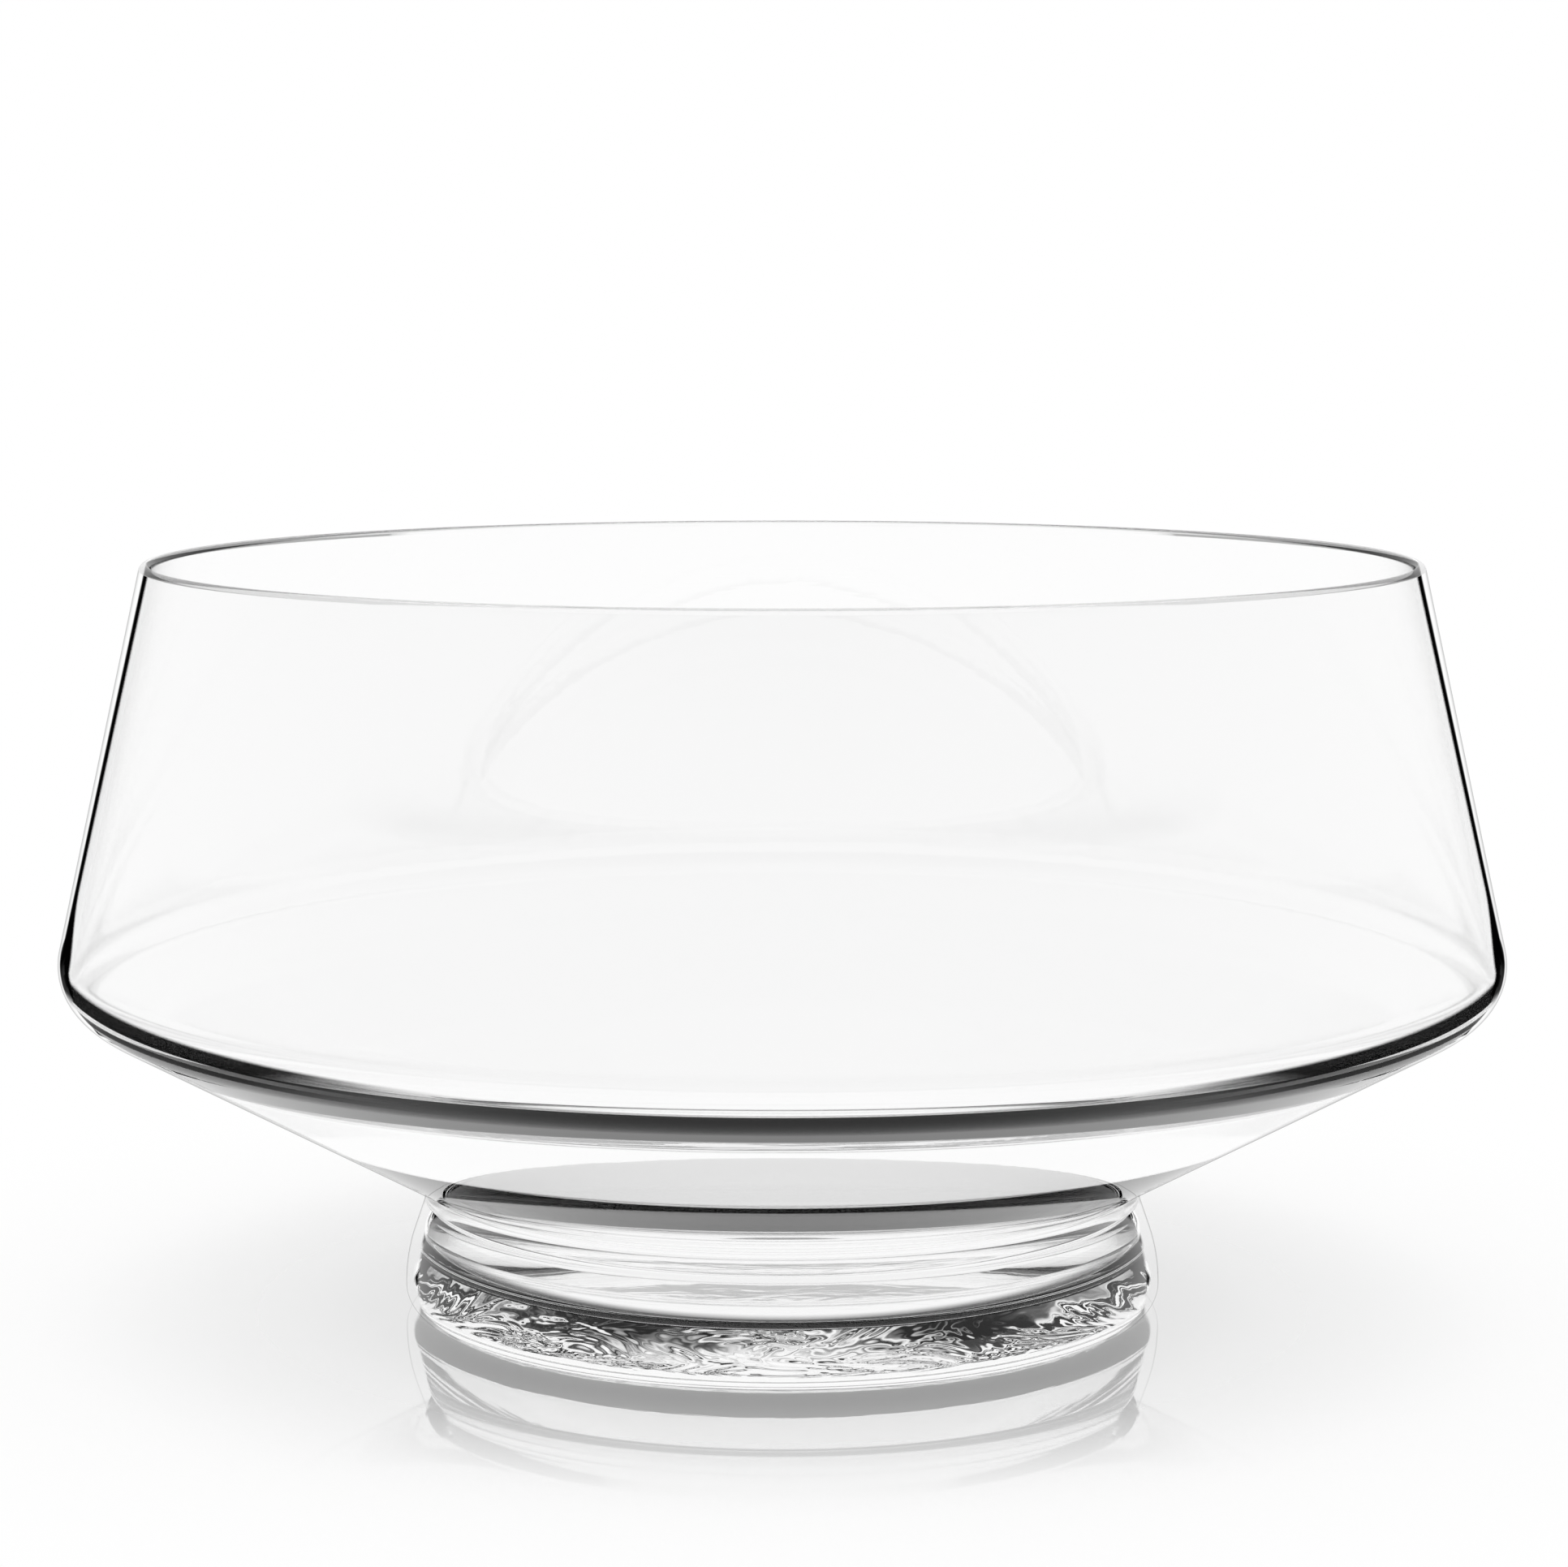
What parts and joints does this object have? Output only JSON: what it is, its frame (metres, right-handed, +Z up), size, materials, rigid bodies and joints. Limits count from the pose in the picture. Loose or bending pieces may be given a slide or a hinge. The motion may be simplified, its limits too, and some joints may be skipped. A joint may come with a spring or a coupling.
{
  "type": "footed punch bowl",
  "caption": "Clear glass punch bowl with walls that lean in to the rim, a tight rounded shoulder, a conical underside and a hollow, heavy-based foot joined at a narrow neck.",
  "frame": {"origin": "on the bowl's axis, at the plane of the standing ring that rests on the table", "axes": "+Z up along the axis of revolution, out through the mouth; X and Y across the bowl, which is round"},
  "size_m": [0.3, 0.3, 0.1567],
  "materials": {
    "bowl_glass": "clear, fire-polished blown glass",
    "foot_glass": "clear, heavy glass with a lightly rippled underside"
  },
  "bodies": {
    "root": {"bowl": "bowl_glass", "foot": "foot_glass"}
  },
  "joints": []
}
